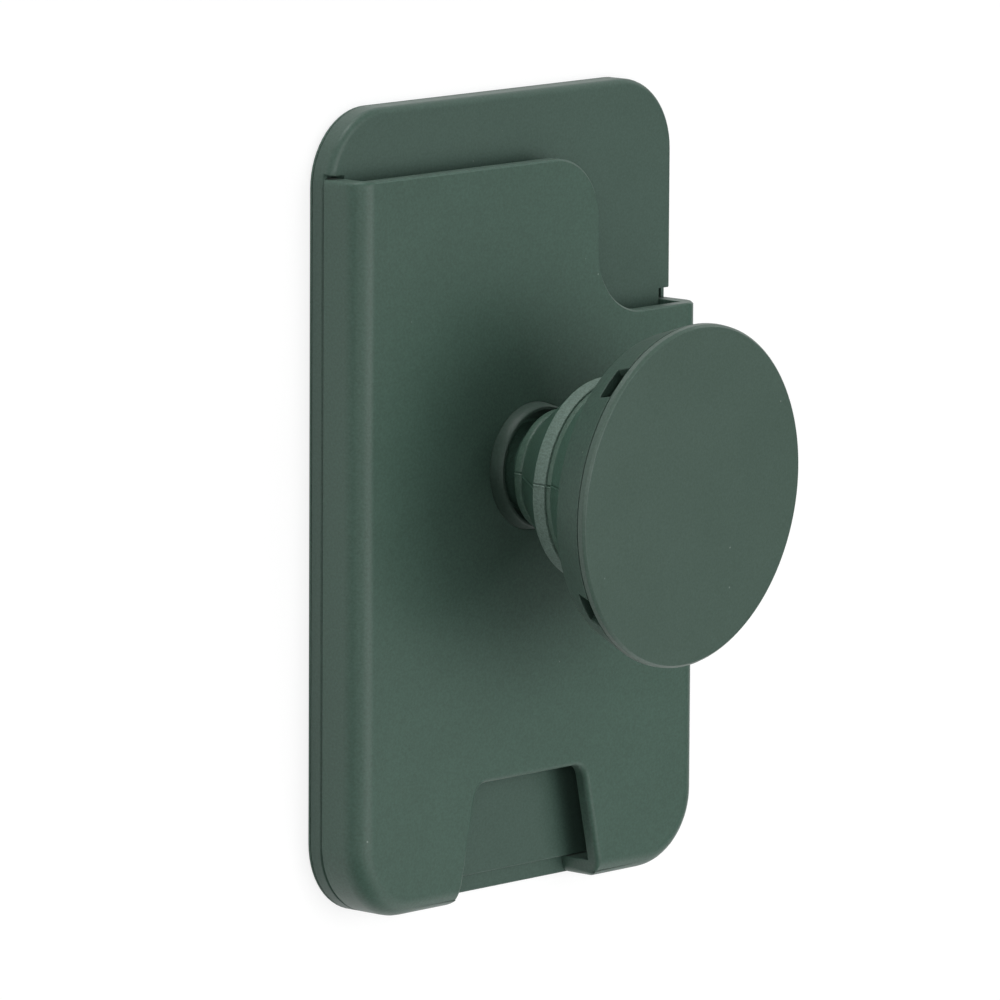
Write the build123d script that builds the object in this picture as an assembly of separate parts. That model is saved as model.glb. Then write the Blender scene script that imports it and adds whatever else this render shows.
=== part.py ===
from build123d import *
import os
from math import atan2, cos, radians, tan

os.makedirs("parts", exist_ok=True)

# A magnetic card wallet for the back of a phone, with a finger grip on an accordion.
# Millimetres. The origin is the centre of the back face, which meets the phone. X is to the
# right and Y up as the wallet is worn, and Z points out of its front.

# Outline
wallet_width = 60.0
wallet_height = 95.2
corner_radius = 9.0
wallet_thickness = 8.2

# Back skin, the thin layer that touches the phone
skin_thickness = 0.45
skin_edge_chamfer = 0.18

# Tray: a low rim, a raised floor inside it and a bare top of the floor's height
rim_height = 2.2
floor_height = 3.3
rim_width = 2.3
bare_edge_round = 0.9
rim_edge_chamfer = 0.2
tray_back_chamfer = 0.12
bare_corner_round = 0.8
left_mouth_gap = 0.4
right_mouth_gap = 1.3

# Groove in the rim along each long side, and the sleeve's tongue that is bonded in it
groove_width = 1.6
groove_depth = 0.9
groove_low_end = -36.0
tongue_clearance = 0.1

# Sleeve: side walls, the front panel and its soft front edge
side_wall = 2.15
panel_thickness = 1.7
front_edge_round = 2.6
foot_chamfer = 0.18
mouth_edge_chamfer = 0.25

# Stepped mouth of the pocket: high on the left, low on the right
mouth_left_y = 39.85
mouth_right_y = 20.5
mouth_step_x = 11.5
mouth_step_radius = 7.7

# Thumb notch at the bottom of the sleeve, wider downwards
notch_top_y = -33.3
notch_top_half = 9.35
notch_bottom_half = 12.45
notch_top_round = 1.9
notch_bottom_round = 1.2

# Ring of magnets let into the back of the tray, with a steel ring in front of it
magnet_count = 18
ring_centre_y = 8.0
ring_rim_gap = 0.7
ring_width = 4.0
magnet_thickness = 0.8
magnet_gap = 0.35
shield_thickness = 0.3
seat_clearance = 0.1

# Upright bar magnet below the ring
bar_width = 6.0
bar_length = 15.0
bar_gap = 3.0
bar_corner_round = 1.0

# Grip base: a flange let into the back of the panel, and the collar that stands on the front
grip_y = 3.8
base_flange_radius = 10.5
base_flange_thickness = 0.75
collar_foot_radius = 7.6
collar_rim_radius = 7.35
collar_height = 1.65
collar_bore_radius = 6.8
collar_rim_chamfer = 0.2
foot_ledge = 0.3
base_web_thickness = 0.5
base_web_front = -0.1
neck_clearance = 0.45
cap_thickness = 0.5

# Accordion: neck, small ring, cone, middle ring, cone and top flange, in one moulding.
# Heights in the grip are measured from the sleeve's face along the grip's own axis.
neck_radius = 5.2
foot_thickness = 0.55
accordion_wall = 1.1
small_ring_wall = 1.4
small_ring_radius = 7.5
small_ring_rear = 2.85
small_ring_front = 4.05
middle_ring_radius = 12.1
middle_ring_rear = 9.5
middle_ring_shoulder = 11.5
middle_ring_front = 12.2
middle_ring_step = 0.3
flange_thickness = 0.95
flange_width = 1.9

# Platform: the wide ring that the disc is caught in
platform_rear = 18.55
platform_rear_radius = 18.75
platform_front_radius = 20.35
platform_wall = 1.35
platform_floor = 0.7
platform_floor_front = 21.1
platform_floor_bore = 13.5
platform_edge_chamfer = 0.25
catch_groove_radius = 18.6
catch_lip_thickness = 0.8
catch_lip_bore = 17.2

# Four windows in the platform's wall, in two pairs
window_pair_angle = 174.6
window_half_spacing = 42.2
window_width_angle = 12.5
window_depth = 2.0

# Disc: the round top plate, its skirt and its catches
disc_front = 24.07
disc_thickness = 0.92
disc_radius = 20.3
disc_rear_radius = 20.35
disc_edge_chamfer = 0.3
parting_gap = 0.1
turning_clearance = 0.2
skirt_wall = 1.0
catch_width_angle = 8.0
catch_thickness = 0.7
twist_angle = 90.0
entry_slot_margin_angle = 0.75

# The grip leans a little, down and to the right, about a pivot at the sleeve's face
lean_angle = 4.4

# Places that follow from the sizes above
half_width = wallet_width / 2
half_height = wallet_height / 2
ring_outer_radius = half_width - rim_width - ring_rim_gap
ring_inner_radius = ring_outer_radius - ring_width
pocket_ceiling = wallet_thickness - panel_thickness
reach = wallet_width + wallet_height
cut_reach = 1.0
cut_overlap = 0.02


def turned(points):
    """A solid of revolution about Z from the corners (radius, height) of its section."""
    corners = [(radius, 0, height) for radius, height in points]
    return revolve(make_face(Polyline(*corners, close=True)), Axis.Z)


def slab(sketch, low, high):
    """A sketch on XY made solid between two heights."""
    return Pos(0, 0, low) * extrude(sketch, high - low)


def wedge(inner, outer, low, high, centre_angle, width_angle):
    """A piece of a ring between two radii, two heights and two angles."""
    ring = Circle(outer) - Circle(inner)
    far = 2 * outer
    spread = far * tan(radians(width_angle / 2))
    sector = make_face(Polyline((0, 0), (far, -spread), (far, spread), close=True))
    return Rot(0, 0, centre_angle) * slab(ring & sector, low, high)


def leaned(shape):
    """Puts a piece of the grip, modelled upright about Z, on the leaning axis."""
    tilted = shape.rotate(Axis((0, 0, 0), (1, 1, 0)), lean_angle)
    return Pos(0, grip_y, wallet_thickness) * tilted


def based(shape):
    """Puts a piece of the grip that stays square to the wallet on the sleeve's face."""
    return Pos(0, grip_y, wallet_thickness) * shape


def outline():
    return RectangleRounded(wallet_width, wallet_height, corner_radius)


def floor_outline():
    return RectangleRounded(
        wallet_width - 2 * rim_width,
        wallet_height - 2 * rim_width,
        corner_radius - rim_width,
    )


def make_back_skin():
    skin = slab(outline(), 0, skin_thickness)
    return chamfer(skin.edges().group_by(Axis.Z)[0], skin_edge_chamfer)


def magnet_seat():
    """The ring groove in the tray's back that holds the magnets and the steel ring."""
    ring = Circle(ring_outer_radius + seat_clearance) - Circle(ring_inner_radius - seat_clearance)
    depth = magnet_thickness + shield_thickness
    return slab(Pos(0, ring_centre_y) * ring, skin_thickness, skin_thickness + depth)


def bar_place():
    """The centre of the bar magnet, a gap below the ring."""
    return ring_centre_y - ring_outer_radius - bar_gap - bar_length / 2


def bar_sketch(clearance):
    return Pos(0, bar_place()) * RectangleRounded(
        bar_width + 2 * clearance, bar_length + 2 * clearance, bar_corner_round
    )


def make_tray():
    low_plate = slab(outline(), skin_thickness, rim_height)
    low_plate = chamfer(low_plate.edges().group_by(Axis.Z)[0], tray_back_chamfer)
    low_plate = chamfer(low_plate.edges().group_by(Axis.Z)[-1], rim_edge_chamfer)

    raised = slab(outline(), rim_height / 2, floor_height)
    raised = fillet(raised.edges().group_by(Axis.Z)[-1], bare_edge_round)
    left_end = mouth_left_y + left_mouth_gap
    right_end = mouth_right_y + right_mouth_gap
    ledge = Pos(-reach / 2, left_end - reach / 2) * Rectangle(reach, reach)
    ledge += Pos(reach / 2, right_end - reach / 2) * Rectangle(reach, reach)
    for side, end in ((-1, left_end), (1, right_end)):
        corner = Pos(side * half_width, end) * Rectangle(2 * bare_corner_round, 2 * bare_corner_round)
        centre = (side * (half_width - bare_corner_round), end + bare_corner_round)
        ledge += corner - Pos(*centre) * Circle(bare_corner_round)
    ledge -= floor_outline()
    raised -= slab(ledge, 0, wallet_thickness)

    tray = low_plate + raised
    for side, end in ((-1, left_end), (1, right_end)):
        groove_x = side * (half_width - rim_width + groove_width / 2)
        length = end - groove_low_end
        groove = Pos(groove_x, groove_low_end + length / 2) * Rectangle(groove_width, length)
        tray -= slab(groove, rim_height - groove_depth, rim_height)
    tray -= magnet_seat()
    tray -= slab(bar_sketch(seat_clearance), skin_thickness, skin_thickness + magnet_thickness)
    return tray


def make_magnet(index):
    """One straight-sided segment of the ring, with even gaps between neighbours."""
    step = 360 / magnet_count
    slope = tan(radians(step / 2))
    inner = ring_inner_radius
    outer = ring_outer_radius * cos(radians(step / 2))
    inner_half = inner * slope - magnet_gap / 2
    outer_half = outer * slope - magnet_gap / 2
    corners = ((inner, -inner_half), (outer, -outer_half), (outer, outer_half), (inner, inner_half))
    plan = make_face(Polyline(*corners, close=True))
    segment = slab(plan, skin_thickness, skin_thickness + magnet_thickness)
    return Pos(0, ring_centre_y) * Rot(0, 0, step * index) * segment


def make_shield_ring():
    ring = Circle(ring_outer_radius) - Circle(ring_inner_radius)
    low = skin_thickness + magnet_thickness
    return slab(Pos(0, ring_centre_y) * ring, low, low + shield_thickness)


def make_align_magnet():
    return slab(bar_sketch(0), skin_thickness, skin_thickness + magnet_thickness)


def above_mouth():
    """The part of the plan above the sleeve's stepped top edge."""
    corners = (
        (-reach, mouth_left_y),
        (mouth_step_x, mouth_left_y),
        (mouth_step_x, mouth_right_y),
        (reach, mouth_right_y),
        (reach, reach),
        (-reach, reach),
    )
    radii = (0, mouth_step_radius, mouth_step_radius, 0, 0, 0)
    return make_face(FilletPolyline(*corners, radius=radii, close=True))


def on_mouth(edge):
    """Is this an outer edge of the stepped mouth, above the chamfer at the foot?"""
    box = edge.bounding_box()
    on_high_side = box.min.Y > mouth_left_y - cut_overlap
    on_low_side = box.min.Y > mouth_right_y - cut_overlap and box.max.X > 0
    above_foot = box.max.Z > rim_height + foot_chamfer + cut_overlap
    return above_foot and (on_high_side or on_low_side)


def notch():
    """The thumb notch in plan, with a rounded mouth at the sleeve's bottom edge."""
    slope = (notch_bottom_half - notch_top_half) / (notch_top_y + half_height)
    past = 2 * notch_bottom_round
    low_y = -half_height
    flare = notch_bottom_half + reach
    half = (
        (notch_top_half, notch_top_y),
        (notch_bottom_half, low_y),
        (flare, low_y),
        (flare, low_y - past),
    )
    mirrored = [(-x, y) for x, y in reversed(half)]
    round_mouth = (notch_top_round, notch_bottom_round, 0, 0)
    radii = round_mouth + tuple(reversed(round_mouth))
    return make_face(FilletPolyline(*half, *mirrored, radius=radii, close=True))


def make_sleeve():
    block = slab(outline(), rim_height, wallet_thickness)
    block = fillet(block.edges().group_by(Axis.Z)[-1], front_edge_round)
    block = chamfer(block.edges().group_by(Axis.Z)[0], foot_chamfer)
    block -= slab(above_mouth(), 0, wallet_thickness + front_edge_round)
    block = chamfer([edge for edge in block.edges() if on_mouth(edge)], mouth_edge_chamfer)
    inside = RectangleRounded(
        wallet_width - 2 * side_wall,
        wallet_height - 2 * side_wall,
        corner_radius - side_wall,
    )
    pocket = slab(inside, 0, pocket_ceiling)
    sleeve = block - pocket
    for side, end in ((-1, mouth_left_y), (1, mouth_right_y)):
        tongue_x = side * (half_width - rim_width + groove_width / 2)
        low_end = groove_low_end + tongue_clearance
        plan = Pos(tongue_x, (low_end + end) / 2) * Rectangle(
            groove_width - 2 * tongue_clearance, end - low_end
        )
        low = rim_height - groove_depth + tongue_clearance
        sleeve += slab(plan, low, rim_height + foot_chamfer)
    sleeve -= slab(notch(), 0, wallet_thickness + front_edge_round)
    recess = turned(
        (
            (0, -panel_thickness),
            (base_flange_radius + seat_clearance, -panel_thickness),
            (base_flange_radius + seat_clearance, base_flange_thickness - panel_thickness),
            (collar_foot_radius, base_flange_thickness - panel_thickness),
            (collar_foot_radius, cut_reach),
            (0, cut_reach),
        )
    )
    return sleeve - based(recess)


def make_grip_base():
    """A flanged collar: bore for the accordion's foot behind, deep open collar in front."""
    foot_bore = foot_radius() + seat_clearance
    web_rear = base_web_front - base_web_thickness
    points = (
        (foot_bore, -panel_thickness),
        (base_flange_radius, -panel_thickness),
        (base_flange_radius, base_flange_thickness - panel_thickness),
        (collar_foot_radius, base_flange_thickness - panel_thickness),
        (collar_foot_radius, 0),
        (collar_rim_radius, collar_height - collar_rim_chamfer),
        (collar_rim_radius - collar_rim_chamfer, collar_height),
        (collar_bore_radius, collar_height),
        (collar_bore_radius, base_web_front),
        (neck_radius + neck_clearance, base_web_front),
        (neck_radius + neck_clearance, web_rear),
        (foot_bore, web_rear),
    )
    return based(turned(points))


def foot_radius():
    """The accordion's foot, wide enough to be held behind the web of the grip base."""
    return collar_bore_radius + foot_ledge


def make_base_cap():
    cap = turned(
        (
            (0, -panel_thickness),
            (foot_radius(), -panel_thickness),
            (foot_radius(), cap_thickness - panel_thickness),
            (0, cap_thickness - panel_thickness),
        )
    )
    return based(cap)


def make_accordion():
    """The stretched accordion: an open tube of rings and cones with an even wall."""
    foot_front = base_web_front - base_web_thickness
    foot_rear = foot_front - foot_thickness
    flange_front = platform_floor_front - platform_floor
    flange_rear = flange_front - flange_thickness
    flange_radius = platform_rear_radius - platform_wall - turning_clearance
    flange_bore = flange_radius - flange_width
    cone_top = flange_radius - flange_width / 4
    neck_bore = neck_radius - accordion_wall
    small_bore = small_ring_radius - small_ring_wall
    ring_bore = middle_ring_radius - accordion_wall
    ring_edge = middle_ring_radius - middle_ring_step
    low_slope = atan2(middle_ring_rear - small_ring_front, middle_ring_radius - small_ring_radius)
    high_slope = atan2(flange_rear - middle_ring_front, cone_top - ring_edge)

    def low_inner(radius):
        rise = accordion_wall / cos(low_slope)
        return small_ring_front + rise + (radius - small_ring_radius) * tan(low_slope)

    def high_inner(radius):
        rise = accordion_wall / cos(high_slope)
        return middle_ring_front + rise + (radius - ring_edge) * tan(high_slope)

    outside = turned(
        (
            (0, -wallet_thickness),
            (neck_radius, -wallet_thickness),
            (neck_radius, small_ring_rear),
            (small_ring_radius, small_ring_rear),
            (small_ring_radius, small_ring_front),
            (middle_ring_radius, middle_ring_rear),
            (middle_ring_radius, middle_ring_shoulder),
            (ring_edge, middle_ring_front),
            (cone_top, flange_rear),
            (flange_radius, flange_rear),
            (flange_radius, flange_front),
            (0, flange_front),
        )
    )
    inside = turned(
        (
            (0, -2 * wallet_thickness),
            (neck_bore, -2 * wallet_thickness),
            (neck_bore, low_inner(small_bore)),
            (small_bore, low_inner(small_bore)),
            (ring_bore, low_inner(ring_bore)),
            (ring_bore, high_inner(ring_bore)),
            (flange_bore, high_inner(flange_bore)),
            (flange_bore, disc_front),
            (0, disc_front),
        )
    )
    behind = Pos(0, 0, foot_rear - wallet_thickness) * Cylinder(
        middle_ring_radius, 2 * wallet_thickness
    )
    foot = Pos(0, 0, (foot_rear + foot_front) / 2) * Cylinder(foot_radius(), foot_thickness)
    return leaned(outside) - based(behind) + based(foot) - leaned(inside)


def window_angles():
    pairs = (window_pair_angle, window_pair_angle + 180)
    return [pair + side * window_half_spacing for pair in pairs for side in (-1, 1)]


def parting_height():
    return disc_front - disc_thickness - parting_gap


def make_platform():
    """The ring with its floor, the groove for the catches and the lip that holds them."""
    front = parting_height()
    floor_rear = platform_floor_front - platform_floor
    rear_bore = platform_rear_radius - platform_wall
    groove_front = front - catch_lip_thickness
    points = (
        (rear_bore, platform_rear),
        (platform_rear_radius - platform_edge_chamfer, platform_rear),
        (platform_rear_radius, platform_rear + platform_edge_chamfer),
        (platform_front_radius, front),
        (catch_lip_bore, front),
        (catch_lip_bore, groove_front),
        (catch_groove_radius, groove_front),
        (catch_groove_radius, platform_floor_front),
        (platform_floor_bore, platform_floor_front),
        (platform_floor_bore, floor_rear),
        (rear_bore, floor_rear),
    )
    platform = turned(points)
    for angle in window_angles():
        platform -= wedge(
            catch_groove_radius - cut_overlap,
            platform_front_radius + cut_reach,
            front - window_depth,
            front + cut_reach,
            angle,
            window_width_angle,
        )
        platform -= wedge(
            catch_lip_bore - cut_reach,
            catch_groove_radius + cut_overlap,
            groove_front - cut_overlap,
            front + cut_reach,
            angle + twist_angle,
            catch_width_angle + 2 * entry_slot_margin_angle,
        )
    return leaned(platform)


def make_disc():
    """The top plate, the skirt that centres it in the platform, and its four catches."""
    rear = disc_front - disc_thickness
    skirt_outer = catch_lip_bore - turning_clearance
    skirt_inner = skirt_outer - skirt_wall
    skirt_rear = platform_floor_front + turning_clearance
    points = (
        (0, rear),
        (skirt_inner, rear),
        (skirt_inner, skirt_rear),
        (skirt_outer, skirt_rear),
        (skirt_outer, rear),
        (disc_rear_radius, rear),
        (disc_radius, disc_front - disc_edge_chamfer),
        (disc_radius - disc_edge_chamfer, disc_front),
        (0, disc_front),
    )
    disc = turned(points)
    for angle in window_angles():
        disc += wedge(
            skirt_inner,
            catch_groove_radius - turning_clearance,
            skirt_rear,
            skirt_rear + catch_thickness,
            angle,
            catch_width_angle,
        )
    return leaned(disc)


pieces = {
    "back_skin": make_back_skin(),
    "back_tray": make_tray(),
    "shield_ring": make_shield_ring(),
    "align_magnet": make_align_magnet(),
    "sleeve": make_sleeve(),
    "grip_base": make_grip_base(),
    "base_cap": make_base_cap(),
    "accordion": make_accordion(),
    "platform": make_platform(),
    "disc": make_disc(),
}
for index in range(magnet_count):
    pieces[f"ring_magnet_{index + 1:02d}"] = make_magnet(index)

for name, shape in pieces.items():
    export_step(shape, f"parts/{name}.step")
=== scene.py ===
from math import atan2, cos, pi, radians, sin

import bmesh
import bpy
from mathutils import Matrix, Vector


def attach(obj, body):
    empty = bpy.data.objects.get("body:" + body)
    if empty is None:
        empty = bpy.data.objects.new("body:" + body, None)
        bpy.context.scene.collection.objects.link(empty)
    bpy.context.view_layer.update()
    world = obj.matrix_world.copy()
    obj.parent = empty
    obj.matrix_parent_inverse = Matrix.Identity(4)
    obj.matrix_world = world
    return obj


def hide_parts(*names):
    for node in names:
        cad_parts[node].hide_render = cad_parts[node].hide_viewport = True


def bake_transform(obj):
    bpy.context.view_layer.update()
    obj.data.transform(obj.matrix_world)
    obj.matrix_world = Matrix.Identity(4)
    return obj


# A magnetic card wallet lying on its back, its finger grip drawn out towards the viewer.
# Sizes are millimetres here and become metres in the meshes. X is to the right, Y up along
# the wallet and Z out of its front, as in the solid model.
MM = 0.001

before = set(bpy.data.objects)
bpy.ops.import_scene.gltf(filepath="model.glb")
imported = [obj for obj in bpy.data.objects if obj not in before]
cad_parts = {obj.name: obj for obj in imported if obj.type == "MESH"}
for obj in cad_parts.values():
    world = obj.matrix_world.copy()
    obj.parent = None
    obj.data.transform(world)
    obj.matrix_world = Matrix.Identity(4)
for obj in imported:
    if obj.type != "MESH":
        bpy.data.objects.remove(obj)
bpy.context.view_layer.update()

# Grip axis: a pivot on the sleeve's face and a small lean down and to the right
PIVOT = Vector((0.0, 3.8, 8.2))
LEAN = radians(4.4)
LEAN_ABOUT = Vector((1, 1, 0))

# Accordion section: radii, and heights along the grip's axis from the sleeve's face
NECK_RADIUS = 5.2
ACCORDION_WALL = 1.1
FOOT = {"radius": 7.1, "rear": -1.15, "front": -0.6}
SMALL_RING = {"radius": 7.25, "rear": 2.85, "front": 4.05, "wall": 1.4}
MIDDLE_RING = {"radius": 12.1, "rear": 9.5, "shoulder": 11.5, "front": 12.2, "step": 0.3}
MIDDLE_RING_CHAMFER = {"in": 0.35, "up": 0.25}
MIDDLE_RING_BORE_UP = 0.2
FLANGE = {"radius": 17.2, "bore": 15.3, "rear": 19.45, "front": 20.4}
CONE_TOP_RADIUS = 16.725

# How far one stretch of the accordion runs into the next, so that no gap opens between them
NECK_LAP = 0.3
SHOULDER_LAP = 0.2
LOW_WEB_LAP = {"root_in": 0.35, "root_down": 0.3, "tip_in": 0.2, "tip_up": 0.1}
HIGH_WEB_LAP = {"root_in": 0.1, "root_down": 0.2, "tip_up": 0.1}

# Turned pieces: stops round the axis, cuts along a wall that folds, steps in a corner's round
AROUND = 240
NECK_CUTS = 10
WEB_CUTS = 40
CORNER_STEPS = 5
CORNER_POINTS = CORNER_STEPS + 1
PATH_RADIUS = 5.0

# Mould parting line down the accordion's left side. It wanders a little from ring to ring.
SEAM_ANGLE = radians(176.4)
SEAM_WANDER = {"small_ring": radians(-0.5), "low_web": radians(1.8), "high_web": radians(-0.8)}
SEAM_WIDTH = 0.2
SEAM_DEPTH = 0.2

# Solids as they are dressed: doubles merged within a distance, flats joined within an angle,
# and edges sharper than an angle in degrees kept hard in the shading
MERGE_WITHIN = 0.002
FLAT_WITHIN = radians(0.4)
HARD_EDGE = 32
HARD_TURNED_EDGE = 35
ROUND_SEGMENTS = 4

# Round on the front edge of the thumb notch: full close under the sleeve's face, none further back
NOTCH_EDGE = {"round": 0.6, "faded": 7.2, "full_under_face": 0.05, "below": -30.0, "within": 13.0}

# Spots where edges meet too flatly for a round: ends of the notch, corners of the tray's rim
LEFT_SHARP_REACH = 1.2
LEFT_SHARP = (
    (-12.6, -47.4, 6.6),
    (12.6, -47.4, 6.6),
    (-27.7, 39.9, 2.2),
    (-29.2, 40.1, 2.4),
    (30.0, 21.8, 2.4),
    (-27.7, 40.8, 2.2),
)

# Marks on the plastics: clouds this wide, and pale lint specks this far apart
CLOUD_SIZE = 7.0
SPECK_APART = 5.0
LINT_COLOUR = "#B9C2BC"

# Floor
FLOOR_HALF = 8000.0
FLOOR_LEVEL = -0.05
FLOOR_GLOW = 0.78

# Camera, fitted to the photograph
VIEW_AZIMUTH = radians(47.67)
VIEW_ELEVATION = radians(8.79)
VIEW_ROLL = radians(0.32)
VIEW_DISTANCE = 1200.5
VIEW_TARGET = Vector((3.166, -1.577, 0.0))
FOCAL_LENGTH = 363.4
SENSOR_WIDTH = 36.0


def linear(hex_colour):
    """An sRGB hex colour as linear red, green, blue and alpha."""
    parts = [int(hex_colour[place : place + 2], 16) / 255 for place in (1, 3, 5)]
    straight = [p / 12.92 if p <= 0.04045 else ((p + 0.055) / 1.055) ** 2.4 for p in parts]
    return (*straight, 1.0)


def add_node(tree, kind, settings=None, inputs=None):
    """Adds a node, sets its properties, and fills or links its inputs."""
    made = tree.nodes.new(kind)
    for name, value in (settings or {}).items():
        setattr(made, name, value)
    for name, value in (inputs or {}).items():
        if isinstance(value, bpy.types.NodeSocket):
            tree.links.new(value, made.inputs[name])
        else:
            made.inputs[name].default_value = value
    return made


def new_material(name):
    material = bpy.data.materials.new(name)
    material.use_nodes = True
    material.node_tree.nodes.clear()
    return material


def moulded(
    name, base, mottle, roughness, grain_mm, grain_depth_mm, edge_mm, sheen=0.0, specks=0.0, reflection=0.5
):
    """A moulded or coated plastic: a base colour with faint clouds, fine grain and soft edges."""
    material = new_material(name)
    tree = material.node_tree
    place = add_node(tree, "ShaderNodeTexCoord").outputs["Object"]
    clouds = add_node(
        tree,
        "ShaderNodeTexNoise",
        inputs={"Vector": place, "Scale": 1 / (CLOUD_SIZE * MM), "Detail": 3.0, "Roughness": 0.6},
    )
    grain = add_node(
        tree,
        "ShaderNodeTexNoise",
        inputs={"Vector": place, "Scale": 1 / (grain_mm * MM), "Detail": 2.0, "Roughness": 0.55},
    )
    crisp = add_node(
        tree,
        "ShaderNodeMapRange",
        inputs={"Value": grain.outputs["Fac"], "From Min": 0.3, "From Max": 0.7},
    )
    uneven = add_node(
        tree,
        "ShaderNodeMix",
        {"data_type": "FLOAT"},
        {"Factor": 0.7, 2: clouds.outputs["Fac"], 3: crisp.outputs["Result"]},
    )
    tint = add_node(
        tree,
        "ShaderNodeMix",
        {"data_type": "RGBA"},
        {"Factor": uneven.outputs[0], 6: linear(mottle), 7: linear(base)},
    )
    colour = tint.outputs[2]
    if specks:
        cells = add_node(
            tree,
            "ShaderNodeTexVoronoi",
            {"feature": "F1"},
            {"Vector": place, "Scale": 1 / (SPECK_APART * MM)},
        )
        dot = add_node(
            tree,
            "ShaderNodeMapRange",
            inputs={"Value": cells.outputs["Distance"], "From Min": 0.03, "From Max": 0.01},
        )
        lint = add_node(
            tree,
            "ShaderNodeMath",
            {"operation": "MULTIPLY"},
            {0: dot.outputs["Result"], 1: specks},
        )
        dusted = add_node(
            tree,
            "ShaderNodeMix",
            {"data_type": "RGBA"},
            {"Factor": lint.outputs["Value"], 6: colour, 7: linear(LINT_COLOUR)},
        )
        colour = dusted.outputs[2]
    soft_edge = add_node(tree, "ShaderNodeBevel", {"samples": 4}, {"Radius": edge_mm * MM})
    bump = add_node(
        tree,
        "ShaderNodeBump",
        inputs={
            "Strength": 1.0,
            "Distance": grain_depth_mm * MM,
            "Height": grain.outputs["Fac"],
            "Normal": soft_edge.outputs["Normal"],
        },
    )
    shine = add_node(
        tree,
        "ShaderNodeMapRange",
        inputs={
            "Value": clouds.outputs["Fac"],
            "To Min": roughness - 0.04,
            "To Max": roughness + 0.04,
        },
    )
    shader = add_node(
        tree,
        "ShaderNodeBsdfPrincipled",
        inputs={
            "Base Color": colour,
            "Roughness": shine.outputs["Result"],
            "IOR": 1.5,
            "Specular IOR Level": reflection,
            "Sheen Weight": sheen,
            "Sheen Roughness": 0.5,
            "Normal": bump.outputs["Normal"],
        },
    )
    add_node(tree, "ShaderNodeOutputMaterial", inputs={"Surface": shader.outputs["BSDF"]})
    return material


# Coats of the plastics. Their grain is drawn coarser than the real one, so that it can be seen.
# Over-moulded soft-touch silicone on the sleeve: matte dark sage with a faint skin-like grain
sleeve_coat = moulded(
    "Soft touch silicone, sage",
    base="#456155",
    mottle="#384F44",
    roughness=0.48,
    grain_mm=0.3,
    grain_depth_mm=0.02,
    edge_mm=0.1,
    sheen=0.05,
    specks=0.35,
    reflection=0.42,
)
# Soft-touch paint on the polycarbonate tray: the same sage, with a finer grain
tray_coat = moulded(
    "Soft touch paint on polycarbonate",
    base="#445C52",
    mottle="#374D43",
    roughness=0.5,
    grain_mm=0.28,
    grain_depth_mm=0.016,
    edge_mm=0.1,
    sheen=0.05,
    specks=0.3,
    reflection=0.42,
)
# Thin rubber skin on the back: the dullest of the greens
skin_coat = moulded(
    "Rubber skin, sage",
    base="#4A6358",
    mottle="#3F564B",
    roughness=0.6,
    grain_mm=0.35,
    grain_depth_mm=0.02,
    edge_mm=0.08,
    sheen=0.05,
    specks=0.2,
    reflection=0.42,
)
# Moulded nylon of the catch ring: spark-eroded tool grain and a low shine
ring_coat = moulded(
    "Moulded nylon, grained",
    base="#455E53",
    mottle="#33473D",
    roughness=0.42,
    grain_mm=0.35,
    grain_depth_mm=0.03,
    edge_mm=0.1,
    sheen=0.05,
    specks=0.2,
)
# Moulded nylon of the collar: the catch ring's nylon, duller, and darker than it as painted shade on the
# collar
collar_shaded_coat = moulded(
    "Moulded nylon, satin",
    base="#3C5248",
    mottle="#31443B",
    roughness=0.55,
    grain_mm=0.35,
    grain_depth_mm=0.03,
    edge_mm=0.1,
    sheen=0.05,
    specks=0.2,
)
# Thermoplastic elastomer of the accordion: deeper green, slightly glossy where it stretches
web_coat = moulded(
    "Elastomer, stretched",
    base="#517264",
    mottle="#3E574A",
    roughness=0.42,
    grain_mm=0.3,
    grain_depth_mm=0.04,
    edge_mm=0.1,
    specks=0.25,
)
# The accordion's middle ring: the same elastomer with a sandblasted band, paler partly from its grain and
# partly as painted light from the left
band_grain_and_light_coat = moulded(
    "Elastomer, sandblasted band",
    base="#7D958A",
    mottle="#55695F",
    roughness=0.5,
    grain_mm=0.25,
    grain_depth_mm=0.07,
    edge_mm=0.1,
    sheen=0.1,
    specks=0.2,
)
# The accordion's small ring and the middle ring's shoulder: the same elastomer, unstretched. On the
# shoulder, its tone darker than the band beside it is painted shade.
plain_and_shaded_web_coat = moulded(
    "Elastomer, plain",
    base="#577365",
    mottle="#425B4E",
    roughness=0.45,
    grain_mm=0.28,
    grain_depth_mm=0.05,
    edge_mm=0.1,
    specks=0.2,
)
# Soft-touch paint on the disc: smooth and even
disc_coat = moulded(
    "Soft touch paint on the disc",
    base="#485E54",
    mottle="#3B5045",
    roughness=0.45,
    grain_mm=0.28,
    grain_depth_mm=0.012,
    edge_mm=0.1,
    sheen=0.05,
    specks=0.35,
)
# Moulded nylon of the plate behind the accordion's foot: out of sight, plain and dull
cap_coat = moulded(
    "Moulded nylon, plain",
    base="#3A5046",
    mottle="#374C42",
    roughness=0.6,
    grain_mm=0.5,
    grain_depth_mm=0.02,
    edge_mm=0.1,
)


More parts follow.
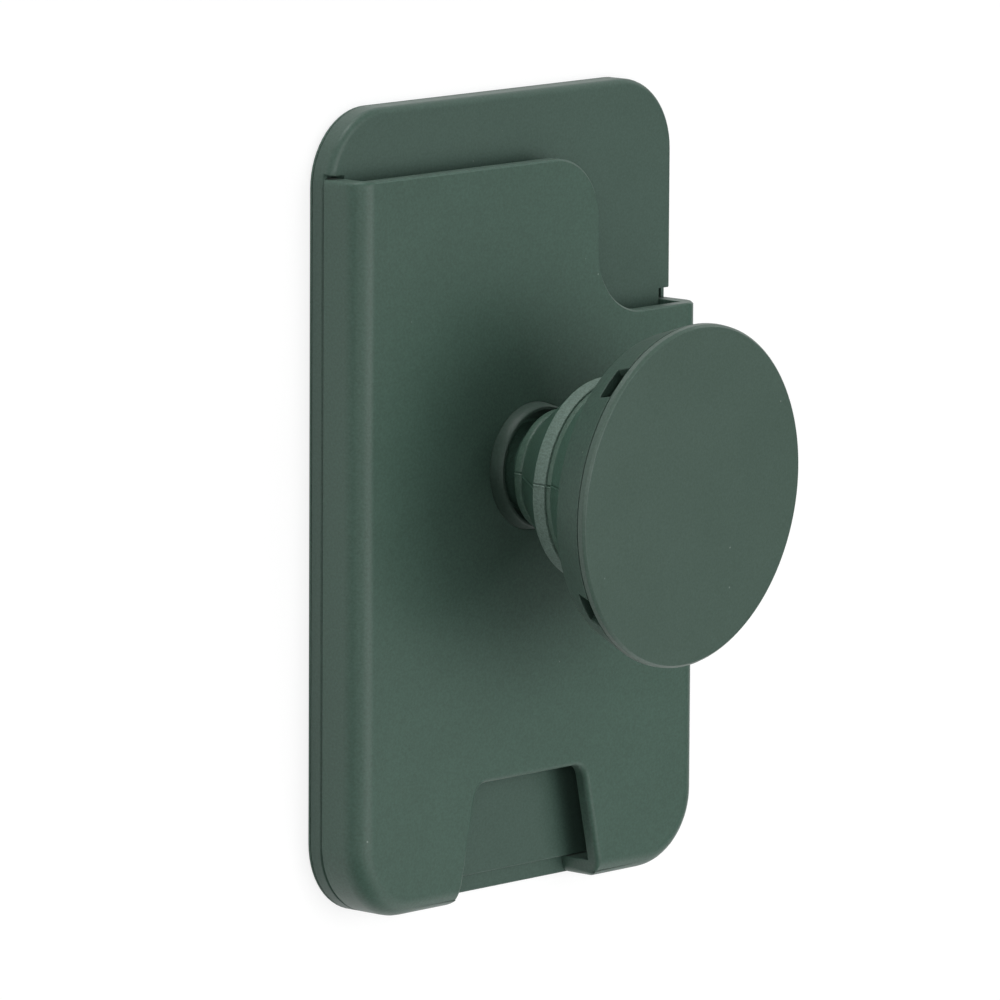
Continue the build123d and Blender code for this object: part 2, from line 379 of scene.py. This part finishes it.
def metal(name, base, roughness, grain_mm, stretch):
    """Bare metal: a base colour and a shine broken up by fine marks, drawn out along one way."""
    material = new_material(name)
    tree = material.node_tree
    place = add_node(tree, "ShaderNodeTexCoord").outputs["Object"]
    drawn = add_node(tree, "ShaderNodeMapping", inputs={"Vector": place, "Scale": stretch})
    marks = add_node(
        tree,
        "ShaderNodeTexNoise",
        inputs={"Vector": drawn.outputs["Vector"], "Scale": 1 / (grain_mm * MM), "Detail": 3.0},
    )
    shine = add_node(
        tree,
        "ShaderNodeMapRange",
        inputs={"Value": marks.outputs["Fac"], "To Min": roughness - 0.08, "To Max": roughness + 0.08},
    )
    shader = add_node(
        tree,
        "ShaderNodeBsdfPrincipled",
        inputs={"Base Color": linear(base), "Metallic": 1.0, "Roughness": shine.outputs["Result"]},
    )
    add_node(tree, "ShaderNodeOutputMaterial", inputs={"Surface": shader.outputs["BSDF"]})
    return material


# Nickel plating on the magnets: bright, faintly warm, lightly hazed
nickel = metal("Nickel plating", base="#C9C4B8", roughness=0.22, grain_mm=0.6, stretch=(1, 1, 1))
# Cold-rolled steel of the shield ring: grey, with rolling lines along its length
steel = metal("Cold-rolled steel", base="#A7A9AB", roughness=0.36, grain_mm=0.8, stretch=(1, 0.05, 1))


def finished_mesh(name, mesh, material):
    """Links a mesh as an object with one material."""
    mesh.materials.clear()
    mesh.materials.append(material)
    piece = bpy.data.objects.new(name, mesh)
    bpy.context.scene.collection.objects.link(piece)
    return piece


def smooth_shaded(mesh, sharp_angle):
    """Smooth faces, with a hard edge wherever two faces meet at more than an angle."""
    mesh.polygons.foreach_set("use_smooth", [True] * len(mesh.polygons))
    mesh.set_sharp_from_angle(angle=radians(sharp_angle))


def notch_softness(middle):
    """One on the front edge of the thumb notch, fading to nothing where it bends to the back."""
    if middle.y > NOTCH_EDGE["below"] or abs(middle.x) > NOTCH_EDGE["within"]:
        return 0.0
    if middle.z < NOTCH_EDGE["faded"]:
        return 0.0
    full = PIVOT.z - NOTCH_EDGE["full_under_face"]
    return min(1.0, (middle.z - NOTCH_EDGE["faded"]) / (full - NOTCH_EDGE["faded"]))


def dressed(name, node, material, body, edge_mm, sharp_from=48, softer_mm=0.0, softness=None):
    """A copy of a solid with its doubles merged, its flats joined up, its edges softened by a
    small round where they meet at more than sharp_from degrees, and even shading. Where
    softness is above zero, the round grows towards the softer one."""
    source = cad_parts[node]
    shell = bmesh.new()
    shell.from_mesh(source.data)
    bmesh.ops.remove_doubles(shell, verts=shell.verts, dist=MERGE_WITHIN * MM)
    bmesh.ops.dissolve_limit(shell, angle_limit=FLAT_WITHIN, verts=shell.verts, edges=shell.edges)
    largest = max(edge_mm, softer_mm)
    roundness = shell.edges.layers.float.new("bevel_weight_edge")
    for edge in shell.edges:
        if len(edge.link_faces) == 2 and edge.calc_face_angle() > radians(sharp_from):
            middle = (edge.verts[0].co + edge.verts[1].co) / 2 / MM
            share = softness(middle) if softness else 0.0
            width = max(edge_mm, softer_mm * share)
            if all((middle - Vector(spot)).length > LEFT_SHARP_REACH for spot in LEFT_SHARP):
                edge[roundness] = width / largest
    mesh = bpy.data.meshes.new(name)
    shell.to_mesh(mesh)
    shell.free()
    smooth_shaded(mesh, HARD_EDGE)
    piece = finished_mesh(name, mesh, material)
    soft = piece.modifiers.new("Soft edges", "BEVEL")
    soft.width = largest * MM
    soft.segments = ROUND_SEGMENTS
    soft.limit_method = "WEIGHT"
    soft.use_clamp_overlap = False
    soft.loop_slide = False
    weighted = piece.modifiers.new("Even shading", "WEIGHTED_NORMAL")
    weighted.keep_sharp = True
    weighted.weight = 100
    final = bpy.data.meshes.new_from_object(
        piece.evaluated_get(bpy.context.evaluated_depsgraph_get())
    )
    piece.modifiers.clear()
    piece.data = final
    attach(piece, body)
    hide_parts(node)
    return piece


def rounded(points, radii):
    """A closed section whose corners are arcs of the given radii."""
    section = []
    count = len(points)
    for index in range(count):
        here = Vector(points[index])
        back = Vector(points[index - 1]) - here
        ahead = Vector(points[(index + 1) % count]) - here
        radius = radii[index]
        if radius <= 0:
            section.append(here)
            continue
        half = back.angle(ahead) / 2
        run = radius / abs(sin(half) / cos(half))
        start = here + back.normalized() * run
        end = here + ahead.normalized() * run
        middle = here + (back.normalized() + ahead.normalized()).normalized() * (radius / sin(half))
        first = (start - middle).normalized()
        last = (end - middle).normalized()
        turn = first.angle(last)
        for step in range(CORNER_POINTS):
            share = step / CORNER_STEPS
            weight_first = sin((1 - share) * turn) / sin(turn)
            weight_last = sin(share * turn) / sin(turn)
            section.append(middle + radius * (weight_first * first + weight_last * last))
    return section


def lathe_tree():
    """Geometry nodes that sweep the modifier's own mesh, a closed section, round the grip's axis.
    Stops 0 to 4 lie close together and make a fine mould parting line: a groove at stop 1 and a
    faint lip at stop 3."""
    groove_stop = 1.0
    lip_stop = 3.0
    last_close_stop = 4.0
    same_stop = 0.5
    lip_share = -0.5
    tree = bpy.data.node_groups.new("Section round the grip's axis", "GeometryNodeTree")
    tree.is_modifier = True
    sockets = {}
    for name, kind in (
        ("Section", "NodeSocketGeometry"),
        ("Stops", "NodeSocketInt"),
        ("Path radius", "NodeSocketFloat"),
        ("Seam angle", "NodeSocketFloat"),
        ("Seam step", "NodeSocketFloat"),
        ("Seam depth", "NodeSocketFloat"),
        ("Lean", "NodeSocketFloat"),
        ("Pivot", "NodeSocketVector"),
        ("Material", "NodeSocketMaterial"),
    ):
        sockets[name] = tree.interface.new_socket(name, in_out="INPUT", socket_type=kind).identifier
    tree.interface.new_socket("Mesh", in_out="OUTPUT", socket_type="NodeSocketGeometry")
    given = add_node(tree, "NodeGroupInput").outputs

    def maths(operation, first, second, third=0.0):
        made = add_node(tree, "ShaderNodeMath", {"operation": operation}, {0: first, 1: second, 2: third})
        return made.outputs[0]

    stop = add_node(tree, "GeometryNodeInputIndex").outputs["Index"]
    close = maths("SUBTRACT", maths("MINIMUM", stop, last_close_stop), groove_stop)
    near = maths("MULTIPLY", close, given["Seam step"])
    rest = maths("MULTIPLY_ADD", given["Seam step"], -last_close_stop, 2 * pi)
    even = maths("DIVIDE", rest, maths("SUBTRACT", given["Stops"], last_close_stop))
    past = maths("MULTIPLY", maths("MAXIMUM", maths("SUBTRACT", stop, last_close_stop), 0.0), even)
    angle = maths("ADD", given["Seam angle"], maths("ADD", near, past))
    spot = add_node(
        tree,
        "ShaderNodeCombineXYZ",
        inputs={
            "X": maths("MULTIPLY", maths("COSINE", angle, 0.0), given["Path radius"]),
            "Y": maths("MULTIPLY", maths("SINE", angle, 0.0), given["Path radius"]),
        },
    )
    circle = add_node(
        tree,
        "GeometryNodeCurvePrimitiveCircle",
        inputs={"Resolution": given["Stops"], "Radius": given["Path radius"]},
    )
    path = add_node(
        tree,
        "GeometryNodeSetPosition",
        inputs={"Geometry": circle.outputs["Curve"], "Position": spot.outputs["Vector"]},
    )
    groove = maths("COMPARE", stop, groove_stop, same_stop)
    lip = maths("MULTIPLY", maths("COMPARE", stop, lip_stop, same_stop), lip_share)
    dipped = add_node(
        tree,
        "GeometryNodeStoreNamedAttribute",
        {"data_type": "FLOAT", "domain": "POINT"},
        {"Geometry": path.outputs["Geometry"], "Name": "dip", "Value": maths("ADD", groove, lip)},
    )
    outline = add_node(tree, "GeometryNodeMeshToCurve", inputs={"Mesh": given["Section"]})
    swept = add_node(
        tree,
        "GeometryNodeCurveToMesh",
        inputs={"Curve": dipped.outputs["Geometry"], "Profile Curve": outline.outputs["Curve"]},
    )
    dip = add_node(tree, "GeometryNodeInputNamedAttribute", {"data_type": "FLOAT"}, {"Name": "dip"})
    crossed = add_node(tree, "GeometryNodeInputNamedAttribute", {"data_type": "FLOAT"}, {"Name": "crossed"})
    reach = maths("MULTIPLY", dip.outputs["Attribute"], crossed.outputs["Attribute"])
    reach = maths("MULTIPLY", maths("MULTIPLY", reach, given["Seam depth"]), -1.0)
    here = add_node(tree, "GeometryNodeInputPosition").outputs["Position"]
    flat = add_node(tree, "ShaderNodeVectorMath", {"operation": "MULTIPLY"}, {0: here, 1: (1, 1, 0)})
    outward = add_node(tree, "ShaderNodeVectorMath", {"operation": "NORMALIZE"}, {0: flat.outputs[0]})
    shift = add_node(
        tree,
        "ShaderNodeVectorMath",
        {"operation": "SCALE"},
        {0: outward.outputs[0], "Scale": reach},
    )
    seamed = add_node(
        tree,
        "GeometryNodeSetPosition",
        inputs={"Geometry": swept.outputs["Mesh"], "Offset": shift.outputs[0]},
    )
    leaned = add_node(
        tree,
        "ShaderNodeVectorRotate",
        {"rotation_type": "AXIS_ANGLE"},
        {"Vector": here, "Axis": LEAN_ABOUT, "Angle": given["Lean"]},
    )
    placed = add_node(
        tree,
        "GeometryNodeSetPosition",
        inputs={
            "Geometry": seamed.outputs["Geometry"],
            "Position": leaned.outputs["Vector"],
            "Offset": given["Pivot"],
        },
    )
    real = add_node(tree, "GeometryNodeRealizeInstances", inputs={"Geometry": placed.outputs["Geometry"]})
    coated = add_node(
        tree,
        "GeometryNodeSetMaterial",
        inputs={"Geometry": real.outputs["Geometry"], "Material": given["Material"]},
    )
    add_node(tree, "NodeGroupOutput", inputs={"Mesh": coated.outputs["Geometry"]})
    return tree, sockets


lathe, lathe_inputs = lathe_tree()


def turned(name, section, material, leaning=True, seam=None):
    """A closed section of (radius, height) turned about the grip's axis. A seam is the angle of
    a fine mould parting line and how many of the section's first points it crosses."""
    count = len(section)
    outline = bpy.data.meshes.new(name + " section")
    outline.from_pydata(
        [((radius - PATH_RADIUS) * MM, -height * MM, 0.0) for radius, height in section],
        [(index, (index + 1) % count) for index in range(count)],
        [],
    )
    seam_angle, crossed = seam or (0.0, 0)
    marks = outline.attributes.new("crossed", "FLOAT", "POINT")
    for index in range(crossed):
        marks.data[index].value = 1.0
    widest = max(radius for radius, height in section)
    carrier = bpy.data.objects.new(name + " section", outline)
    bpy.context.scene.collection.objects.link(carrier)
    turning = carrier.modifiers.new("Lathe", "NODES")
    turning.node_group = lathe
    values = {
        "Stops": AROUND,
        "Path radius": PATH_RADIUS * MM,
        "Seam angle": seam_angle,
        "Seam step": SEAM_WIDTH / 2 / widest if seam else 2 * pi / AROUND,
        "Seam depth": SEAM_DEPTH * MM if seam else 0.0,
        "Lean": LEAN if leaning else 0.0,
        "Pivot": tuple(PIVOT * MM),
        "Material": material,
    }
    for label, value in values.items():
        turning[lathe_inputs[label]] = value
    mesh = bpy.data.meshes.new_from_object(
        carrier.evaluated_get(bpy.context.evaluated_depsgraph_get())
    )
    carrier.modifiers.clear()
    bpy.data.objects.remove(carrier)
    for label in ("dip", "crossed"):
        mesh.attributes.remove(mesh.attributes[label])
    shell = bmesh.new()
    shell.from_mesh(mesh)
    bmesh.ops.recalc_face_normals(shell, faces=shell.faces)
    shell.to_mesh(mesh)
    shell.free()
    smooth_shaded(mesh, HARD_TURNED_EDGE)
    return finished_mesh(name, mesh, material)


def wall_line(start, end, count):
    """Points along a straight wall, so that the wall can bend when the grip folds."""
    return [
        (start[0] + (end[0] - start[0]) * k / count, start[1] + (end[1] - start[1]) * k / count)
        for k in range(count)
    ]


def web(name, low, high, seam_angle):
    """One stretched cone between two rings, cut fine along its slope so that it can fold."""
    slope = atan2(high[1] - low[1], high[0] - low[0])
    shift = (-ACCORDION_WALL * sin(slope), ACCORDION_WALL * cos(slope))
    outer = wall_line(low, high, WEB_CUTS) + [high]
    inner_low = (low[0] + shift[0], low[1] + shift[1])
    inner_high = (high[0] + shift[0], high[1] + shift[1])
    inner = wall_line(inner_high, inner_low, WEB_CUTS) + [inner_low]
    return turned(name, outer + inner, web_coat, seam=(seam_angle, len(outer)))


# The wallet's own pieces
sleeve = dressed(
    "pocket_sleeve",
    "sleeve",
    sleeve_coat,
    "wallet",
    edge_mm=0.1,
    softer_mm=NOTCH_EDGE["round"],
    softness=notch_softness,
)
tray = dressed("tray", "back_tray", tray_coat, "wallet", edge_mm=0.1)
skin = dressed("phone_side_skin", "back_skin", skin_coat, "wallet", edge_mm=0.06)

# The grip's rigid pieces
# The collar's coat is darker than the catch ring's: painted shade
collar = dressed("grip_collar", "grip_base", collar_shaded_coat, "wallet", edge_mm=0.08)
catch_ring = dressed("catch_ring", "platform", ring_coat, "head", edge_mm=0.08, sharp_from=40)
top_disc = dressed("top_disc", "disc", disc_coat, "top", edge_mm=0.06, sharp_from=40)

# Accordion: foot and neck, small ring, web, middle ring and its shoulder, web and flange
neck_bore = NECK_RADIUS - ACCORDION_WALL
neck_top = SMALL_RING["rear"] + NECK_LAP
foot_and_neck = turned(
    "accordion_foot",
    [(neck_bore, FOOT["rear"]), (FOOT["radius"], FOOT["rear"]), (FOOT["radius"], FOOT["front"])]
    + wall_line((NECK_RADIUS, FOOT["front"]), (NECK_RADIUS, neck_top), NECK_CUTS)
    + [(NECK_RADIUS, neck_top)]
    + wall_line((neck_bore, neck_top), (neck_bore, FOOT["rear"]), NECK_CUTS),
    web_coat,
    leaning=False,
)
small_bore = SMALL_RING["radius"] - SMALL_RING["wall"]
small_ring = turned(
    "accordion_small_ring",
    rounded(
        (
            (SMALL_RING["radius"], SMALL_RING["rear"]),
            (SMALL_RING["radius"], SMALL_RING["front"]),
            (small_bore, SMALL_RING["front"]),
            (neck_bore, SMALL_RING["front"]),
            (neck_bore, SMALL_RING["rear"]),
        ),
        radii=(0.3, 0.3, 0, 0, 0),
    ),
    plain_and_shaded_web_coat,
    seam=(SEAM_ANGLE + SEAM_WANDER["small_ring"], 2 * CORNER_POINTS),
)
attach(small_ring, "neck")
low_web = web(
    "accordion_low_web",
    (SMALL_RING["radius"] - LOW_WEB_LAP["root_in"], SMALL_RING["front"] - LOW_WEB_LAP["root_down"]),
    (MIDDLE_RING["radius"] - LOW_WEB_LAP["tip_in"], MIDDLE_RING["rear"] + LOW_WEB_LAP["tip_up"]),
    SEAM_ANGLE + SEAM_WANDER["low_web"],
)
middle_bore = MIDDLE_RING["radius"] - ACCORDION_WALL
# The middle ring's band is paler partly as painted light from the left
middle_ring = turned(
    "accordion_middle_ring",
    rounded(
        (
            (MIDDLE_RING["radius"] - MIDDLE_RING_CHAMFER["in"], MIDDLE_RING["rear"]),
            (MIDDLE_RING["radius"], MIDDLE_RING["rear"] + MIDDLE_RING_CHAMFER["up"]),
            (MIDDLE_RING["radius"], MIDDLE_RING["shoulder"]),
            (middle_bore, MIDDLE_RING["shoulder"]),
            (middle_bore, MIDDLE_RING["rear"] + MIDDLE_RING_BORE_UP),
        ),
        radii=(0.1, 0.15, 0.12, 0, 0),
    ),
    band_grain_and_light_coat,
    seam=(SEAM_ANGLE, 3 * CORNER_POINTS),
)
shoulder_radius = MIDDLE_RING["radius"] - MIDDLE_RING["step"]
shoulder_rear = MIDDLE_RING["shoulder"] - SHOULDER_LAP
# The shoulder takes a darker coat than the band beside it: painted shade on the step
shoulder = turned(
    "accordion_shoulder",
    rounded(
        (
            (shoulder_radius, shoulder_rear),
            (shoulder_radius, MIDDLE_RING["front"]),
            (middle_bore, MIDDLE_RING["front"]),
            (middle_bore, shoulder_rear),
        ),
        radii=(0, 0.12, 0, 0),
    ),
    plain_and_shaded_web_coat,
    seam=(SEAM_ANGLE, 1 + CORNER_POINTS),
)
high_web = web(
    "accordion_high_web",
    (shoulder_radius - HIGH_WEB_LAP["root_in"], MIDDLE_RING["front"] - HIGH_WEB_LAP["root_down"]),
    (CONE_TOP_RADIUS, FLANGE["rear"] + HIGH_WEB_LAP["tip_up"]),
    SEAM_ANGLE + SEAM_WANDER["high_web"],
)
flange = turned(
    "accordion_flange",
    (
        (FLANGE["bore"], FLANGE["rear"]),
        (FLANGE["radius"], FLANGE["rear"]),
        (FLANGE["radius"], FLANGE["front"]),
        (FLANGE["bore"], FLANGE["front"]),
    ),
    web_coat,
)
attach(flange, "head")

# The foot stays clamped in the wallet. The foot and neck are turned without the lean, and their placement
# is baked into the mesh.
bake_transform(foot_and_neck)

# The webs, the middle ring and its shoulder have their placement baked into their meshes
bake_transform(low_web)
for part in (middle_ring, shoulder):
    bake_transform(part)
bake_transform(high_web)
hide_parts("accordion")

# Pieces out of sight keep their solids. All of them but these two are magnets.
hidden_finish = {"shield_ring": steel, "base_cap": cap_coat}
for label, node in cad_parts.items():
    if not node.hide_render:
        node.data.materials.clear()
        node.data.materials.append(hidden_finish.get(label, nickel))

# Camera
toward = Vector(
    (
        -sin(VIEW_AZIMUTH) * cos(VIEW_ELEVATION),
        sin(VIEW_ELEVATION),
        cos(VIEW_AZIMUTH) * cos(VIEW_ELEVATION),
    )
)
level_right = Vector((cos(VIEW_AZIMUTH), 0, sin(VIEW_AZIMUTH)))
level_up = toward.cross(level_right)
right = cos(VIEW_ROLL) * level_right + sin(VIEW_ROLL) * level_up
up = cos(VIEW_ROLL) * level_up - sin(VIEW_ROLL) * level_right
camera_data = bpy.data.cameras.new("Camera")
camera_data.lens = FOCAL_LENGTH
camera_data.sensor_width = SENSOR_WIDTH
camera_data.clip_start = 0.1
camera_data.clip_end = 20
camera = bpy.data.objects.new("Camera", camera_data)
bpy.context.scene.collection.objects.link(camera)
stance = Matrix((right, up, toward)).transposed().to_4x4()
stance.translation = (VIEW_TARGET + toward * VIEW_DISTANCE) * MM
camera.matrix_world = stance
bpy.context.scene.camera = camera

# Floor: a pale plane under the wallet's back, which keeps the shadow and is the white background
# from every side. It is as pale to glossy rays, so rims that face away from the front mirror it.
floor_material = new_material("Pale studio floor")
tree = floor_material.node_tree
light_path = add_node(tree, "ShaderNodeLightPath")
mirrored = add_node(
    tree,
    "ShaderNodeMath",
    {"operation": "MAXIMUM"},
    {0: light_path.outputs["Is Glossy Ray"], 1: light_path.outputs["Is Transmission Ray"]},
)
watched = add_node(
    tree,
    "ShaderNodeMath",
    {"operation": "MAXIMUM"},
    {0: mirrored.outputs["Value"], 1: light_path.outputs["Is Camera Ray"]},
)
plain = add_node(tree, "ShaderNodeBsdfDiffuse", inputs={"Color": linear("#EEEEEE")})
pale = add_node(tree, "ShaderNodeBsdfDiffuse", inputs={"Color": linear("#8C8C8C")})
glow = add_node(tree, "ShaderNodeEmission", inputs={"Color": (1, 1, 1, 1), "Strength": FLOOR_GLOW})
seen = add_node(
    tree,
    "ShaderNodeAddShader",
    inputs={0: pale.outputs["BSDF"], 1: glow.outputs["Emission"]},
)
mixed = add_node(
    tree,
    "ShaderNodeMixShader",
    inputs={0: watched.outputs["Value"], 1: plain.outputs["BSDF"], 2: seen.outputs["Shader"]},
)
add_node(tree, "ShaderNodeOutputMaterial", inputs={"Surface": mixed.outputs["Shader"]})
half = FLOOR_HALF * MM
level = FLOOR_LEVEL * MM
floor_mesh = bpy.data.meshes.new("floor")
floor_mesh.from_pydata(
    [(-half, -half, level), (half, -half, level), (half, half, level), (-half, half, level)],
    [],
    [(0, 1, 2, 3)],
)
floor = finished_mesh("floor", floor_mesh, floor_material)

# World: dim, as in a dark studio
world = bpy.data.worlds.new("Studio")
bpy.context.scene.world = world
world.use_nodes = True
tree = world.node_tree
tree.nodes.clear()
soft = add_node(tree, "ShaderNodeBackground", inputs={"Color": (1, 1, 1, 1), "Strength": 0.03})
add_node(tree, "ShaderNodeOutputWorld", inputs={"Surface": soft.outputs["Background"]})


def softbox(name, direction, distance, size, power):
    """A square area lamp that faces the wallet from a direction, in metres and watts."""
    lamp_data = bpy.data.lights.new(name, "AREA")
    lamp_data.shape = "SQUARE"
    lamp_data.size = size
    lamp_data.energy = power
    lamp = bpy.data.objects.new(name, lamp_data)
    bpy.context.scene.collection.objects.link(lamp)
    aim = Vector(direction).normalized()
    lamp.location = aim * distance
    lamp.rotation_euler = aim.to_track_quat("Z", "Y").to_euler()


# Even light on the wallet's front and the disc
softbox("wide front", direction=(0.1, 0.05, 1.0), distance=1.0, size=1.3, power=6.2)
softbox("front", direction=(0.15, 0.05, 1.0), distance=1.0, size=0.5, power=2.7)
softbox("front left", direction=(-0.3, 0.3, 1.0), distance=1.0, size=0.6, power=0.4)
# The pale band on the rounded left edge, and the side of the accordion
softbox("left", direction=(-0.8, 0.12, 0.7), distance=1.0, size=0.35, power=1.7)
softbox("side", direction=(-1.0, 0.2, 0.12), distance=1.0, size=0.4, power=0.45)
# The upper edges: the sleeve's mouth and the top of the catch ring
softbox("top", direction=(0.1, 1.0, 0.14), distance=1.0, size=0.5, power=0.4)
softbox("above", direction=(-0.2, 1.0, 0.02), distance=0.6, size=0.06, power=1.8)
# The edges that face right or down, round the step of the mouth and the thumb notch
softbox("right", direction=(1.0, 0.6, 0.3), distance=1.0, size=0.25, power=0.9)
softbox("low right", direction=(0.6, -1.0, 0.5), distance=0.4, size=0.25, power=0.35)

bpy.context.scene.view_settings.view_transform = "Standard"
